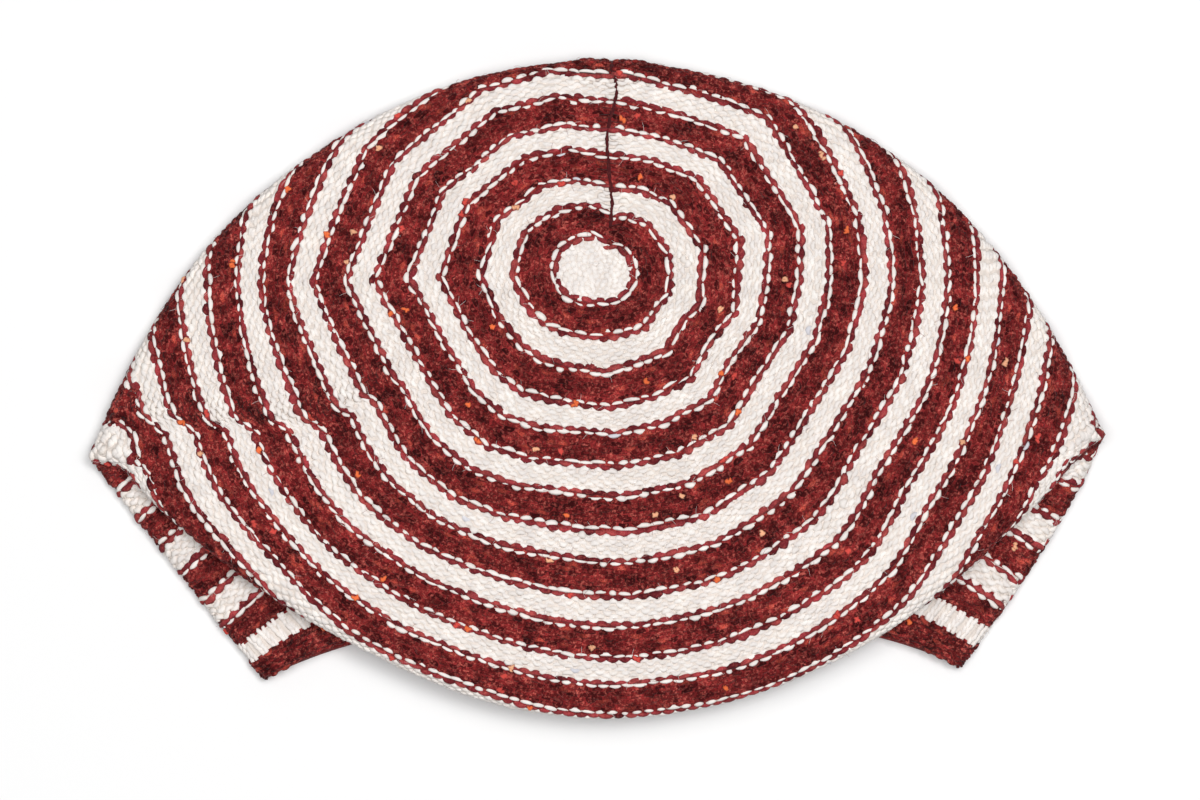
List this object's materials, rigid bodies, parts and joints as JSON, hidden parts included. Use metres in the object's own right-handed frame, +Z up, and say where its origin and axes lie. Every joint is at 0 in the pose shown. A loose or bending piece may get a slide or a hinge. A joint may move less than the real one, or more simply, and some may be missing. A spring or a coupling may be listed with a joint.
{
  "type": "slouch beret",
  "caption": "Knitted slouch beret lying flat, its full wool crown folded over in concentric burgundy and cream stripes above a short knitted band, worn on the head.",
  "frame": {"origin": "middle of the beret's outline where it lies on the table, at the table's surface", "axes": "+X to the right across the beret's width, +Y away from the band's open mouth towards the fold along the top of the crown, +Z up"},
  "size_m": [0.3383, 0.2192, 0.0304],
  "materials": {
    "burgundy_wool": "tweed wool knit, purl side out",
    "ivory_wool": "undyed wool knit, purl side out"
  },
  "bodies": {
    "root": {"crown": "burgundy_wool", "band": "ivory_wool"}
  },
  "joints": []
}
